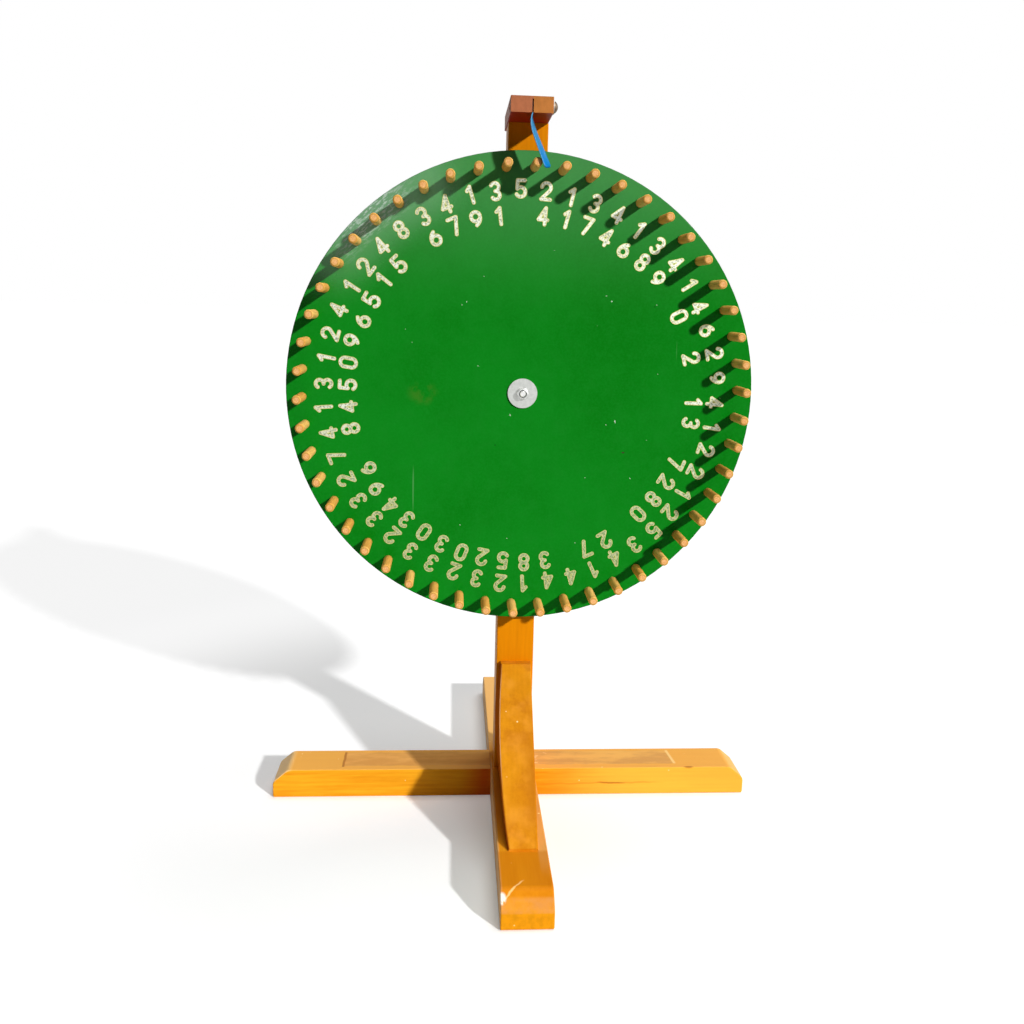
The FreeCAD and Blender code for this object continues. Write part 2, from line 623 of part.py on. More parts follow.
def left_head_cheek():
    """The wider half, rebated for the strip and pocketed for the clamp nut."""
    blank = head_cheek((HEAD_LEFT_X, HEAD_JOINT_OFFSET))
    kerf_back = -HEAD_FRONT_REACH + KERF_DEPTH
    kerf = box(
        (HEAD_JOINT_OFFSET - KERF_WIDTH, HEAD_JOINT_OFFSET),
        (-HEAD_FRONT_REACH, kerf_back),
        (HEAD_UNDERSIDE_HEIGHT, HEAD_TOP_HEIGHT - KERF_COVER),
    )
    mouth = Vector(HEAD_LEFT_X, CLAMP_Y, CLAMP_Z)
    pocket = cylinder(CLAMP_POCKET_DIAMETER / 2, mouth, X_AXIS, CLAMP_POCKET_DEPTH)
    blank = blank.cut(kerf).cut(pocket.fuse(clamp_hole()))
    return blank.cut(head_screw_solids()[0])


def right_head_cheek():
    """The narrower half, which the domed clamp bolt pulls against the strip."""
    blank = head_cheek((HEAD_JOINT_OFFSET, HEAD_RIGHT_X))
    return blank.cut(clamp_hole()).cut(head_screw_solids()[1])


def head_screw_solids():
    screws = []
    for side in (-1, 1):
        top = Vector(side * HEAD_SCREW_OFFSET, 0, HEAD_TOP_HEIGHT)
        screws.append(
            wood_screw(HEAD_SCREW_DIAMETER, HEAD_SCREW_LENGTH, HEAD_SCREW_HEAD_DIAMETER, top, -Z_AXIS)
        )
    return screws


def clamp_bolt():
    """The domed bolt across the head, which nips the strip between the cheeks."""
    seat = Vector(HEAD_RIGHT_X + CLAMP_WASHER_THICKNESS, CLAMP_Y, CLAMP_Z)
    rim = CLAMP_DOME_DIAMETER / 2
    ball_radius = (rim**2 + CLAMP_DOME_HEIGHT**2) / (2 * CLAMP_DOME_HEIGHT)
    ball = Part.makeSphere(ball_radius, seat + X_AXIS * (CLAMP_DOME_HEIGHT - ball_radius))
    dome = ball.common(cylinder(rim * 1.2, seat, X_AXIS, CLAMP_DOME_HEIGHT * 1.2))
    nut_far_x = HEAD_LEFT_X + CLAMP_POCKET_SPARE
    shank = cylinder(CLAMP_BOLT_DIAMETER / 2, seat, -X_AXIS, seat.x - nut_far_x)
    return dome.fuse(shank).removeSplitter()


def clamp_washer():
    start = Vector(HEAD_RIGHT_X, CLAMP_Y, CLAMP_Z)
    return washer(CLAMP_WASHER_DIAMETER, CLAMP_BOLT_DIAMETER, start, X_AXIS, CLAMP_WASHER_THICKNESS)


def clamp_nut_washer():
    start = Vector(HEAD_LEFT_X + CLAMP_POCKET_DEPTH, CLAMP_Y, CLAMP_Z)
    return washer(CLAMP_NUT_WASHER_DIAMETER, CLAMP_BOLT_DIAMETER, start, -X_AXIS, CLAMP_NUT_WASHER_THICKNESS)


def clamp_nut():
    start = Vector(HEAD_LEFT_X + CLAMP_POCKET_DEPTH - CLAMP_NUT_WASHER_THICKNESS, CLAMP_Y, CLAMP_Z)
    blank = chamfered_hexagon(CLAMP_NUT_FLATS, start, -X_AXIS, CLAMP_NUT_HEIGHT)
    return blank.cut(cylinder(CLAMP_BOLT_DIAMETER / 2, start, -X_AXIS, CLAMP_NUT_HEIGHT))


def strip_place(distance):
    """The middle of the strip and its direction, at a distance below the head."""
    bend_length = STRIP_BEND_RADIUS * STRIP_LEAN_ANGLE
    turned = min(max(distance / STRIP_BEND_RADIUS, 0), STRIP_LEAN_ANGLE)
    x = STRIP_BEND_RADIUS * (1 - math.cos(turned))
    drop = STRIP_BEND_RADIUS * math.sin(turned)
    beyond = distance if distance < 0 else max(distance - bend_length, 0)
    x += beyond * math.sin(turned)
    drop += beyond * math.cos(turned)
    place = Vector(STRIP_X + x, STRIP_Y, HEAD_UNDERSIDE_HEIGHT - drop)
    return place, Vector(math.sin(turned), 0, -math.cos(turned))


def strip_section(distance):
    """The strip's outline across its length there, twisted a little more towards the tip."""
    place, direction = strip_place(distance)
    share = max(distance / STRIP_FREE_LENGTH, 0)
    first_twist = STRIP_FIRST_TWIST * (1 - math.exp(-STRIP_FIRST_TWIST_SHARP * share))
    twist = math.radians(first_twist + STRIP_LATER_TWIST * share)
    flat = direction.cross(Y_AXIS).normalize()
    wide = Y_AXIS * math.cos(twist) + flat * math.sin(twist)
    thin = direction.cross(wide).normalize()
    across = wide * (STRIP_WIDTH / 2)
    through = thin * (STRIP_THICKNESS / 2)
    corners = [
        place - across - through,
        place + across - through,
        place + across + through,
        place - across + through,
    ]
    return Part.makePolygon(corners + [corners[0]])


def pointer_strip():
    """The flexible strip, nipped in the kerf and leaning against a peg."""
    sections = [strip_section(-STRIP_GRIP)]
    for step in range(STRIP_SECTIONS):
        sections.append(strip_section(STRIP_FREE_LENGTH * step / (STRIP_SECTIONS - 1)))
    strip = Part.makeLoft(sections, True, True)
    return strip.cut(clamp_hole())


NODES = {
    "cross_bar": cross_bar,
    "foot_bar": foot_bar,
    "post": post,
    "front_brace": front_brace,
    "coach_screw": coach_screw,
    "coach_washer": coach_washer,
    "left_head_cheek": left_head_cheek,
    "right_head_cheek": right_head_cheek,
    "head_screws": lambda: Part.makeCompound(head_screw_solids()),
    "clamp_bolt": clamp_bolt,
    "clamp_washer": clamp_washer,
    "clamp_nut": clamp_nut,
    "clamp_nut_washer": clamp_nut_washer,
    "pointer_strip": pointer_strip,
    "axle_bolt": axle_bolt,
    "rear_washer": rear_washer,
    "spacer_washer": spacer_washer,
    "front_washer": front_washer,
    "lock_nut": lock_nut,
    "lock_nut_ring": lock_nut_ring,
    "wheel_board": wheel_board,
    "hub_bush": hub_bush,
    "pegs": pegs,
    "outer_digits": outer_digits,
    "inner_digits": inner_digits,
}


def main():
    os.makedirs("parts", exist_ok=True)
    for name, make in NODES.items():
        shape = make()
        shape.exportStep(os.path.join("parts", name + ".step"))
        print(name, len(shape.Solids), "solids", round(shape.Volume / 1000, 2), "cm3", shape.isValid())


main()
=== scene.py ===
import math
import bmesh
import bpy
from mathutils import Matrix, Vector


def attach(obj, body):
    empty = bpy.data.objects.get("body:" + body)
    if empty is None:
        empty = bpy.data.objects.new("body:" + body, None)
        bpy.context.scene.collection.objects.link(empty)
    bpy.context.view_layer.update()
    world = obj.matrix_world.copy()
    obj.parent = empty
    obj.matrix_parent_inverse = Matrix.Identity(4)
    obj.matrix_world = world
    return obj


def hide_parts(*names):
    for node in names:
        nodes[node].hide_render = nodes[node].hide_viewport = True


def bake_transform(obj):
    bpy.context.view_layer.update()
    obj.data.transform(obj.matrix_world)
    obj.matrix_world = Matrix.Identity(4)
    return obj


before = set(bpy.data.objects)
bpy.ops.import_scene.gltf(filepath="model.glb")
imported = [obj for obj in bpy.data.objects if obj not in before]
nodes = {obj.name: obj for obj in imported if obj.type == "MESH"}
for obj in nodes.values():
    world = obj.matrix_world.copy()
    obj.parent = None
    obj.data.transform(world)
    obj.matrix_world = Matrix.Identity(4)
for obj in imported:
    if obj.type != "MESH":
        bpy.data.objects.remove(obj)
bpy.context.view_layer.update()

# The camera that the picture was taken with, fitted to the wheel, the pegs, the post and the bars.
# The axis pixel is the place in the picture that the lens points at.
IMAGE_SIDE = 1024
EYE = Vector((-0.08977, -1.2873, 0.67549))
YAW, PITCH, ROLL = (math.radians(angle) for angle in (4.19, 10.06, 1.51))
FOCAL_PIXELS = 973.68
AXIS_PIXEL = (521.53, 476.38)
SENSOR_WIDTH = 36.0
FARTHEST_SEEN = 200.0

# The key light travels from the front, the right and above and draws the shadows.
# A second one, broad and soft, falls from above. Their angles are in degrees.
KEY_TRAVEL = Vector((-0.83, 1.0, -0.585))
KEY_STRENGTH = 3.7
KEY_ANGLE = 2.5
TOP_TRAVEL = Vector((-0.2, -0.06, -1.0))
TOP_STRENGTH = 1.55
TOP_ANGLE = 40.0
FILL_STRENGTH = 0.06

# The floor's reach from the middle, and how far out it starts and stops fading into the white
FLOOR_REACH = 60.0
FADE_START = 0.25
FADE_END = 1.1

# The wheel, in metres, and its first peg's turn from the top in degrees
AXLE_HEIGHT = 0.562
BOARD_FRONT = -0.0389
PEG_COUNT = 50
PEG_STEP = 2 * math.pi / PEG_COUNT
PEG_CIRCLE = 0.280
PEG_START = 1.64
DIGIT_BORDER = 0.0007

# The dull scars that two side braces have left on the cross bar: from and to, along it and across
LEFT_SCAR = (-0.2325, -0.02)
RIGHT_SCAR = (0.03, 0.2285)
SCAR_ACROSS = (-0.0185, 0.0225)
LEFT_SCAR_RIM = (-0.2350, -0.2318)
LEFT_SCAR_RIM_ACROSS = (-0.021, 0.0235)

# The flexible strip: how it leaves the head, bends over and twists, in metres and degrees.
STRIP_TOP = Vector((0.0, -0.0797, 0.8965))
STRIP_WIDTH = 0.024
STRIP_THICKNESS = 0.0015
STRIP_GRIP = 0.0148
STRIP_FREE_LENGTH = 0.0639
STRIP_BEND_RADIUS = 0.057
STRIP_LEAN = math.radians(23.4)
STRIP_FIRST_TWIST = 15.0
STRIP_TWIST_RATE = 12.0
STRIP_LATER_TWIST = 9.0
STRIP_CORNER = 0.005
STRIP_INSET = 0.002
STRIP_INSET_RUN = 0.002
STRIP_STATIONS = 56
STRIP_EDGE_STEPS = 6

X, Y, Z = range(3)
AXES = "XYZ"
EVEN = (1.0, 1.0, 1.0)
UNMOVED = (0.0, 0.0, 0.0)

# How long one band of the band texture is at a scale of 1
BAND_LENGTH = 0.314

# How fine the waver is at a ragged edge
RAGGED_SCALE = 60.0


def linear(red, green, blue):
    """A colour as a picture shows it, 0 to 255, in linear values."""

    def convert(value):
        value = value / 255
        return value / 12.92 if value <= 0.04045 else ((value + 0.055) / 1.055) ** 2.4

    return (convert(red), convert(green), convert(blue), 1.0)


def grey(value):
    return (value, value, value, 1.0)


def darker(colour, share):
    red, green, blue, alpha = colour
    return (red * share, green * share, blue * share, alpha)


class Surface:
    """One procedural material: a colour with others laid over it, in the order of the calls.

    Every place in it is in metres in the part's own frame.
    """

    def __init__(self, name, roughness, specular, metallic=0.0):
        self.material = bpy.data.materials.new(name)
        self.material.use_nodes = True
        self.tree = self.material.node_tree
        self.shader = self.tree.nodes["Principled BSDF"]
        self.set("Roughness", roughness)
        self.set("Specular IOR Level", specular)
        self.set("Metallic", metallic)
        coordinates = self.tree.nodes.new("ShaderNodeTexCoord")
        self.position = coordinates.outputs["Object"]
        self.facing = coordinates.outputs["Normal"]
        self.colour = None

    def set(self, socket, value):
        self.feed(self.shader.inputs[socket], value)

    def feed(self, socket, value):
        if isinstance(value, bpy.types.NodeSocket):
            self.tree.links.new(value, socket)
        else:
            socket.default_value = value

    def node(self, kind, inputs, **settings):
        made = self.tree.nodes.new(kind)
        for key, value in settings.items():
            setattr(made, key, value)
        for key, value in inputs.items():
            self.feed(made.inputs[key], value)
        return made

    def stretched(self, stretch, shift=UNMOVED):
        inputs = {"Vector": self.position, "Location": shift, "Scale": stretch}
        return self.node("ShaderNodeMapping", inputs).outputs["Vector"]

    def noise(self, scale, stretch=EVEN, detail=3.0, rough=0.5, shift=UNMOVED):
        return self.noise_at(self.stretched(stretch, shift), scale, detail, rough)

    def noise_at(self, place, scale, detail, rough):
        inputs = {"Vector": place, "Scale": scale, "Detail": detail, "Roughness": rough}
        return self.node("ShaderNodeTexNoise", inputs).outputs[0]

    def cells(self, scale, stretch, shift):
        inputs = {"Vector": self.stretched(stretch, shift), "Scale": scale}
        made = self.node("ShaderNodeTexVoronoi", inputs)
        return made.outputs["Distance"], made.outputs["Color"]

    def rings(self, spacing, stretch, direction):
        """Growth rings, as wavering bands that follow each other in one direction."""
        inputs = {"Vector": self.stretched(stretch), "Scale": BAND_LENGTH / spacing}
        inputs.update({"Distortion": 5.0, "Detail": 2.0, "Detail Scale": 0.6})
        settings = {"wave_type": "BANDS", "bands_direction": direction}
        return self.node("ShaderNodeTexWave", inputs, **settings).outputs["Fac"]

    def split(self, vector, axis):
        return self.node("ShaderNodeSeparateXYZ", {0: vector}).outputs[axis]

    def place(self, axis):
        """Where a point lies along one axis."""
        return self.split(self.position, axis)

    def normal(self, axis):
        """How much the surface faces along one axis, from -1 to 1."""
        return self.split(self.facing, axis)

    def math(self, operation, first, second=0.0):
        return self.node("ShaderNodeMath", {0: first, 1: second}, operation=operation).outputs[0]

    def plus(self, first, second):
        return self.math("ADD", first, second)

    def minus(self, first, second):
        return self.math("SUBTRACT", first, second)

    def times(self, *values):
        product = values[0]
        for value in values[1:]:
            product = self.math("MULTIPLY", product, value)
        return product

    def diagonal(self, first, second):
        return self.math("SQRT", self.plus(self.times(first, first), self.times(second, second)))

    def vector_math(self, operation, *values):
        return self.node("ShaderNodeVectorMath", dict(enumerate(values)), operation=operation)

    def length(self, vector):
        return self.vector_math("LENGTH", vector).outputs["Value"]

    def rise(self, value, start, end, low=0.0, high=1.0):
        inputs = {"Value": value, "From Min": start, "From Max": end, "To Min": low, "To Max": high}
        return self.node("ShaderNodeMapRange", inputs, interpolation_type="SMOOTHSTEP").outputs[0]

    def fall(self, value, start, end):
        return self.rise(value, start, end, 1.0, 0.0)

    def band(self, value, start, full, waning, end):
        """Rises from the start to its full 1, and falls again from where it wanes to the end."""
        return self.times(self.rise(value, start, full), self.fall(value, waning, end))

    def span(self, axis, low, high, soft, ragged=0.0):
        """1 between two places along an axis, with a soft and ragged edge."""
        place = self.place(axis)
        if ragged:
            shake = self.times(self.minus(self.noise(RAGGED_SCALE), 0.5), ragged)
            place = self.plus(place, shake)
        return self.band(place, low - soft, low + soft, high - soft, high + soft)

    def near(self, centre, radius, soft, stretch):
        """1 inside an egg about a place, smaller along an axis where it is stretched more."""
        away = self.vector_math("SUBTRACT", self.position, Vector(centre)).outputs[0]
        away = self.vector_math("MULTIPLY", away, stretch).outputs[0]
        return self.fall(self.length(away), radius - soft, radius + soft)

    def mix(self, amount, first, second):
        return self.node("ShaderNodeMix", {0: amount, 6: first, 7: second}, data_type="RGBA").outputs[2]

    def cover(self, shade, *amounts):
        """Lays a shade over the colour so far, by the product of the amounts."""
        self.colour = self.mix(self.times(*amounts), self.colour, shade)

    def flecks(self, shade, scale, size, share, stretch=EVEN, shift=UNMOVED):
        """Small scattered marks: a share of the cells of a given scale have one in their middle."""
        distance, cell_colour = self.cells(scale, stretch, shift)
        chosen = self.rise(self.split(cell_colour, X), 1.0 - share, 1.0 - share + 0.02)
        mark = self.fall(distance, size * 0.6, size)
        self.cover(shade, chosen, mark)

    def bump(self, height, distance, strength):
        inputs = {"Height": height, "Distance": distance, "Strength": strength}
        self.set("Normal", self.node("ShaderNodeBump", inputs).outputs[0])

    def finish(self):
        self.set("Base Color", self.colour)
        return self.material


def along_only(axis, along, across):
    return tuple(along if name == axis else across for name in AXES)


def wood(name, pale, dark, axis, end=None, ring_spacing=0.006, figure=0.5, side=None, shade_below=None):
    """Varnished timber with its grain along one axis.

    The faces across the grain, to the left and below may each have a colour of their own; on the left
    faces and the faces below it is painted light and shade.
    """
    surface = Surface(name, roughness=0.42, specular=0.03)
    flow = along_only(axis, 0.07, 1.0)
    fibre = surface.noise(420.0, flow, detail=4.0, rough=0.6)
    streak = surface.noise(95.0, flow, rough=0.55)
    broad = surface.noise(9.0, along_only(axis, 0.5, 1.0), detail=2.0)
    direction = "X" if axis == "Z" else "Z"
    growth = surface.rings(ring_spacing, along_only(axis, 0.05, 1.0), direction)
    amount = surface.times(surface.rise(streak, 0.30, 0.72), 0.55)
    amount = surface.plus(amount, surface.times(growth, 0.2))
    amount = surface.plus(amount, surface.times(surface.rise(fibre, 0.35, 0.7), 0.3))
    amount = surface.times(amount, figure)
    amount = surface.plus(amount, surface.times(surface.rise(broad, 0.32, 0.7), 0.45))
    surface.colour = surface.mix(amount, pale, dark)
    # Painted light and shade: the left faces get a colour of their own for how they look lit or in
    # shade.
    if side:
        surface.cover(side, surface.fall(surface.normal(X), -0.9, -0.55))
    # Painted shade: the faces below get a redder, darker colour of their own.
    if shade_below:
        surface.cover(shade_below, surface.fall(surface.normal(Z), -0.9, -0.6))
    if end:
        spots = surface.noise(150.0, (1, 1, 0.6), detail=4.0, rough=0.6, shift=(0.3, 0.1, 0.2))
        grain = surface.mix(surface.rise(spots, 0.35, 0.7), end, darker(end, 0.84))
        across = surface.math("ABSOLUTE", surface.normal(AXES.index(axis)))
        surface.cover(grain, surface.rise(across, 0.55, 0.85))
    surface.bump(surface.plus(surface.times(fibre, 0.5), streak), 0.0002, 0.35)
    return surface


def facing_up(surface):
    return surface.rise(surface.normal(Z), 0.5, 0.8)


def brace_scars(surface, top):
    """Lays the two dull scars on top of the cross bar, and returns how strongly they show."""
    mottle = surface.noise(38.0, (0.35, 1, 1), detail=4.0, rough=0.6, shift=(0.4, 0.2, 0.0))
    mottle = surface.rise(mottle, 0.38, 0.62)
    across = surface.span(Y, *SCAR_ACROSS, soft=0.0015, ragged=0.006)
    left = surface.times(surface.span(X, *LEFT_SCAR, soft=0.0010, ragged=0.001), across, top)
    right = surface.times(surface.span(X, *RIGHT_SCAR, soft=0.0015, ragged=0.004), across, top)
    surface.cover(surface.mix(mottle, linear(238, 176, 100), linear(216, 152, 84)), left, 0.75)
    surface.cover(surface.mix(mottle, linear(242, 184, 100), linear(214, 158, 92)), right, 0.85)
    rim = surface.span(X, *LEFT_SCAR_RIM, soft=0.0008, ragged=0.002)
    rim_across = surface.span(Y, *LEFT_SCAR_RIM_ACROSS, soft=0.001, ragged=0.004)
    surface.cover(linear(165, 95, 40), surface.times(rim, rim_across, top), 0.75)
    slant = surface.plus(surface.place(X), surface.times(surface.place(Y), 0.10))
    glue_line = surface.times(surface.band(slant, 0.2268, 0.2285, 0.2303, 0.2325), top, across)
    surface.cover(linear(255, 214, 140), glue_line, 0.85)
    return surface.plus(left, right)


def front_figure(surface):
    """The cross bar's front: redder by the post as painted shade, paler to the right, with a thin crack
    along it.
    """
    front = surface.fall(surface.normal(Y), -0.8, -0.5)
    # Painted shade: the front beside the post, shaded by the post and brace, is made redder.
    by_post = surface.times(front, surface.span(X, -0.055, -0.02, soft=0.022))
    surface.cover(linear(214, 76, 22), by_post, 0.75)
    surface.cover(linear(252, 194, 74), front, surface.rise(surface.place(X), 0.02, 0.16), 0.6)
    thread = surface.plus(surface.place(Z), surface.times(surface.noise(30.0), 0.006))
    thin = surface.band(thread, 0.0183, 0.0196, 0.0206, 0.0219)
    vein = surface.times(thin, surface.span(X, 0.045, 0.20, soft=0.02), front)
    surface.cover(linear(190, 100, 20), vein, 0.35)
    crack = surface.times(thin, surface.span(X, 0.122, 0.156, soft=0.008), front)
    surface.cover(linear(150, 75, 20), crack, 0.55)


def cross_bar_wood():
    """The left to right bar, scarred on its top."""
    pale, dark, end = linear(246, 174, 36), linear(216, 128, 10), linear(226, 150, 62)
    surface = wood("cross_bar_varnish", pale, dark, "X", end, figure=0.8)
    top = facing_up(surface)
    # Painted sheen: the top faces are made paler, standing in for how light falls on them from above.
    surface.cover(linear(243, 178, 84), top, 0.85)
    scars = brace_scars(surface, top)
    spatter = surface.noise(150.0, (0.5, 1, 1), rough=0.6, shift=(0.1, 0.9, 0.0))
    by_post = surface.span(X, 0.0, 0.052, soft=0.004, ragged=0.02)
    surface.cover(linear(255, 214, 150), by_post, top, surface.rise(spatter, 0.60, 0.66), 0.8)
    # Painted light: the sloping face at the left end is made pale, though it faces to the left, away
    # from the key light.
    left_end = surface.rise(surface.place(X), -0.300, -0.310)
    sloping = surface.rise(surface.normal(Z), 0.15, 0.35)
    surface.cover(linear(255, 216, 150), left_end, sloping, 0.8)
    front_figure(surface)
    corner_split = surface.near((0.249, -0.0285, 0.039), 0.0065, 0.003, stretch=(1.0, 3.5, 3.5))
    surface.cover(linear(150, 85, 30), corner_split, 0.7)
    surface.flecks(linear(255, 220, 150), scale=95.0, size=0.12, share=0.05)
    surface.set("Roughness", surface.plus(0.34, surface.times(scars, 0.3)))
    return surface.finish()


def front_end_marks(surface):
    """The foot bar's front end: a pale bevel, partly wear and partly a painted highlight, a scratch
    aslant across the left edge and a chip.
    """
    sloping = surface.rise(surface.normal(Z), 0.15, 0.35)
    # The bevel is made paler: partly wear, partly a painted highlight where it faces up.
    bevel = surface.times(surface.fall(surface.place(Y), -0.3195, -0.3155), sloping)
    wear_and_sheen = surface.rise(surface.noise(60.0, detail=4.0, rough=0.6), 0.35, 0.65, 0.25, 0.85)
    surface.cover(linear(216, 144, 72), bevel, wear_and_sheen)
    aslant = surface.minus(surface.place(Y), surface.times(surface.place(X), 1.05))
    aslant = surface.plus(aslant, surface.times(surface.noise(70.0), 0.008))
    scratch = surface.band(aslant, -0.2905, -0.2890, -0.2880, -0.2862)
    by_edge = surface.span(X, -0.0275, -0.004, soft=0.003)
    scratch = surface.times(scratch, by_edge, surface.rise(surface.place(Y), -0.27, -0.28))
    surface.cover(linear(255, 206, 130), scratch, 0.8)
    chip = surface.near((-0.0285, -0.3185, 0.033), 0.0048, 0.0016, stretch=(1.0, 0.8, 0.7))
    surface.cover(linear(250, 240, 225), chip, surface.rise(surface.noise(260.0), 0.35, 0.5))


def foot_bar_wood():
    """The front to back bar: paler at the back, where its top is painted light, paler beside the brace
    and darker at the front.
    """
    pale, dark, end = linear(240, 160, 30), linear(204, 116, 10), linear(228, 148, 16)
    # Painted light: the left faces (side) are made pale, standing in for bounced light on them in
    # shade.
    surface = wood("foot_bar_varnish", pale, dark, "Y", end, side=linear(226, 174, 110))
    top = facing_up(surface)
    # Painted light: the top is made paler towards the back, as it looks in full sun.
    back = surface.rise(surface.place(Y), 0.0, 0.08)
    surface.cover(linear(240, 190, 118), back, surface.rise(top, 0.0, 1.0, 0.25, 0.8))
    right_edge = surface.rise(surface.place(X), 0.017, 0.020)
    beside_brace = surface.span(Y, -0.270, -0.03, soft=0.025, ragged=0.02)
    surface.cover(linear(226, 168, 92), surface.times(top, right_edge, beside_brace), 0.75)
    # The pale left edge of the top: partly wear, partly a painted highlight on its rounding.
    wear_and_highlight_edge = surface.rise(surface.place(X), -0.0268, -0.0285)
    ahead = surface.rise(surface.place(Y), 0.0, -0.02)
    surface.cover(linear(222, 172, 112), surface.times(top, wear_and_highlight_edge, ahead), 0.8)
    front = surface.span(Y, -0.318, -0.236, soft=0.004, ragged=0.01)
    surface.cover(linear(205, 116, 8), surface.times(top, front), 0.55)
    front_end_marks(surface)
    surface.flecks(linear(255, 224, 150), scale=75.0, size=0.13, share=0.12)
    return surface.finish()


def post_wood():
    pale, dark, end = linear(230, 142, 4), linear(200, 112, 2), linear(200, 130, 60)
    # Painted light: the left faces (side) are made paler than they look in shade.
    surface = wood("post_varnish", pale, dark, "Z", end, side=linear(222, 150, 66))
    surface.flecks(linear(255, 206, 120), scale=60.0, size=0.09, share=0.05)
    return surface.finish()


def brace_wood():
    """Smeared varnish with specks in it, darker low on the right, with a pale painted reflection low on
    its rounded left edge and its left face in painted shade.
    """
    # The side colour is painted shade for the left face.
    pale, dark, side = linear(222, 146, 20), linear(196, 116, 8), linear(196, 100, 24)
    surface = wood("brace_varnish", pale, dark, "Z", side=side)
    sideways = surface.normal(X)
    smear = surface.noise(34.0, (1.0, 1, 0.55), detail=4.0, rough=0.6, shift=(0.7, 0.1, 0.0))
    surface.cover(linear(186, 104, 16), surface.rise(smear, 0.48, 0.66), 0.55)
    cloud = surface.noise(42.0, (1.0, 1, 0.7), rough=0.55, shift=(0.1, 0.6, 0.4))
    surface.cover(linear(236, 160, 52), surface.rise(cloud, 0.42, 0.72), 0.45)
    front = surface.rise(sideways, -0.4, -0.2)
    surface.set("Specular IOR Level", surface.rise(front, 0.0, 1.0, 0.0, 0.03))
    # Painted shade: the left face gets a redder, darker colour of its own.
    surface.cover(side, surface.rise(sideways, -0.35, -0.7))
    low = surface.span(Z, 0.06, 0.128, soft=0.012, ragged=0.02)
    right = surface.rise(surface.place(X), 0.0, 0.016)
    surface.cover(linear(190, 112, 14), surface.times(low, right, front), 0.55)
    # Painted reflection: a pale band low on the rounded left edge.
    left_edge_reflection = surface.band(sideways, -0.6, -0.45, -0.3, -0.15)
    wear_and_sheen = surface.span(Z, 0.10, 0.185, soft=0.02)
    surface.cover(linear(232, 180, 140), left_edge_reflection, wear_and_sheen, 0.7)
    surface.flecks(linear(255, 226, 160), scale=70.0, size=0.10, share=0.14)
    return surface.finish()


def head_wood(name, pale, dark, end):
    """Close-grained timber, its left faces duller and its faces below redder, both painted shade."""
    # Painted shade: duller left faces and redder faces below.
    side, shade_below = linear(150, 86, 52), linear(160, 44, 20)
    surface = wood(name, pale, dark, "Y", end, ring_spacing=0.004, side=side, shade_below=shade_below)
    return surface.finish()


def from_axle(surface):
    """How far a place on the wheel is from the axle, and its turn from the top in radians."""
    x = surface.place(X)
    z = surface.minus(surface.place(Z), AXLE_HEIGHT)
    return surface.diagonal(x, z), surface.math("ARCTAN2", x, z)


def peg_middle_distance(surface):
    """How far a place is from the middle line of the peg it belongs to."""
    far, turn = from_axle(surface)
    turn = surface.minus(turn, math.radians(PEG_START))
    place = surface.plus(surface.math("DIVIDE", turn, PEG_STEP), 0.5)
    beside = surface.minus(surface.math("FRACT", place), 0.5)
    beside = surface.times(beside, PEG_STEP * PEG_CIRCLE)
    return surface.diagonal(beside, surface.minus(far, PEG_CIRCLE))


def peg_wood():
    """Clear-varnished dowels, each a little different, darker at the board as painted shade, and paler
    ends.
    """
    surface = Surface("peg_dowel", roughness=0.45, specular=0.05)
    each = surface.node("ShaderNodeNewGeometry", {}).outputs["Random Per Island"]
    pale, dark = linear(248, 196, 112), linear(232, 166, 80)
    surface.colour = surface.mix(surface.rise(each, 0.0, 1.0), pale, dark)
    grain = surface.rise(surface.noise(900.0, (1, 0.06, 1), rough=0.6), 0.35, 0.7)
    surface.cover(linear(176, 108, 40), grain, 0.35)
    # Painted shade: darker where the peg meets the board.
    surface.cover(linear(140, 90, 30), surface.rise(surface.place(Y), -0.048, -0.039), 0.35)
    spots = surface.rise(surface.noise(1200.0, detail=2.0), 0.4, 0.65)
    face = surface.mix(spots, linear(246, 190, 126), linear(222, 152, 84))
    rim = surface.rise(peg_middle_distance(surface), 0.0026, 0.0046)
    face = surface.mix(rim, face, linear(196, 148, 62))
    surface.cover(face, surface.fall(surface.normal(Y), -0.93, -0.7))
    surface.bump(grain, 0.0001, 0.3)
    return surface.finish()


def brush_strokes(surface):
    """Fine lines that rise to the right, as the rim does there."""
    inputs = {"Vector": surface.position, "Rotation": (0.0, math.radians(42.0), 0.0)}
    turned = surface.node("ShaderNodeMapping", inputs).outputs[0]
    inputs = {"Vector": turned, "Scale": (0.3, 1.0, 1.0)}
    drawn = surface.node("ShaderNodeMapping", inputs).outputs[0]
    return surface.rise(surface.noise_at(drawn, 420.0, detail=4.0, rough=0.7), 0.47, 0.62)


def rim_wear_and_glare(surface, far, sector):
    """The board by its rim at the upper left: a grey veil of painted glare, with the paint scraped in
    one place.
    """
    cloud = surface.rise(surface.noise(24.0, detail=4.0, rough=0.6), 0.3, 0.6, 0.45, 1.0)
    # Painted reflection: the grey veil stands in for glare on the gloss paint.
    haze = surface.times(sector, surface.rise(far, 0.225, 0.292), cloud)
    surface.cover(linear(60, 116, 72), haze, 0.25)
    scraped = surface.near((-0.196, -0.039, 0.779), 0.042, 0.028, stretch=(0.85, 1.0, 0.85))
    scraped = surface.times(scraped, surface.rise(far, 0.262, 0.285))
    surface.cover(linear(104, 136, 112), scraped, 0.4)
    surface.cover(linear(176, 196, 182), scraped, brush_strokes(surface), 0.75)


